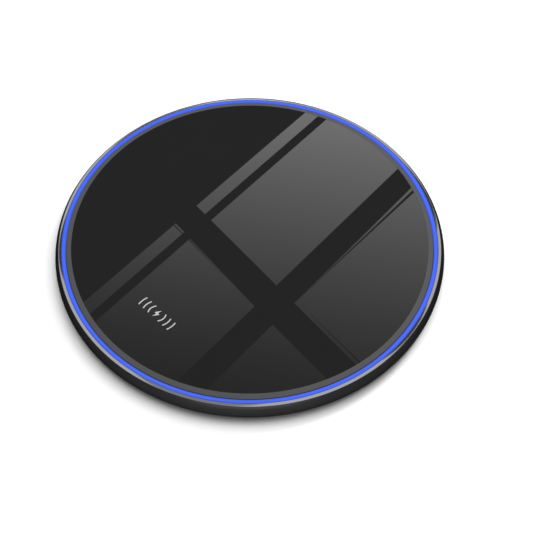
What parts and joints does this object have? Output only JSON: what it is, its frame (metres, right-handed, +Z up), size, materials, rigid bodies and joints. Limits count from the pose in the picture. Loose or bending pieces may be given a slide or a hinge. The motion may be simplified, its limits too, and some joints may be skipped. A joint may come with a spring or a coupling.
{
  "type": "wireless charging pad",
  "caption": "Round flat wireless charging pad: black glass top, glowing light ring, aluminium rim with bright chamfer, USB-C port and anti-slip underside.",
  "frame": {"origin": "on the table plane, on the axis of the pad", "axes": "+Z up out of the glass, +Y towards the USB-C port, -Y towards the printed mark on the glass"},
  "size_m": [0.1, 0.0998, 0.0075],
  "materials": {
    "black_glass": "polished, black print under the glass, ground grey bevel round the edge",
    "light_guide": "milky translucent ring, lit blue from inside",
    "anodised_rim": "fine bead-blasted black anodising with a bright diamond-cut chamfer round the top edge",
    "frame_plastic": "white moulded polycarbonate",
    "adhesive": "double-sided tape",
    "coil_film": "amber polyimide film",
    "copper_wire": "enamelled copper litz wire",
    "ferrite": "sintered ferrite",
    "foam": "closed-cell foam",
    "sensor_coating": "dipped resin",
    "circuit_board": "green solder mask",
    "chip_package": "black moulded epoxy",
    "capacitor_ceramic": "tan ceramic with tinned ends",
    "passive_parts": "brown ceramic with tinned ends",
    "led_package": "white package",
    "port_steel": "nickel-plated sheet steel",
    "port_plastic": "black moulded insulator",
    "contact_gold": "gold plating",
    "screw_steel": "zinc-plated",
    "black_screw_steel": "blackened",
    "cover_plastic": "finely textured black ABS",
    "silicone": "matte black silicone rubber"
  },
  "bodies": {
    "root": {"glass_panel": "black_glass", "glass_adhesive": "adhesive", "light_ring": "light_guide", "housing": "anodised_rim", "inner_frame": "frame_plastic", "coil_film": "coil_film", "charging_coil": "copper_wire", "coil_adhesive": "adhesive", "ferrite_shield": "ferrite", "foam_pad": "foam", "thermistor": "sensor_coating", "main_board": "circuit_board", "controller_chip": "chip_package", "bridge_mosfets": "chip_package", "power_inductor": "ferrite", "resonant_capacitors": "capacitor_ceramic", "input_capacitors": "capacitor_ceramic", "chip_passives": "passive_parts", "regulator": "chip_package", "ring_leds": "led_package", "usb_shell": "port_steel", "usb_tongue": "port_plastic", "usb_contacts": "contact_gold", "board_screws": "screw_steel", "bottom_cover": "cover_plastic", "cover_screws": "black_screw_steel", "anti_slip_ring": "silicone"}
  },
  "joints": []
}
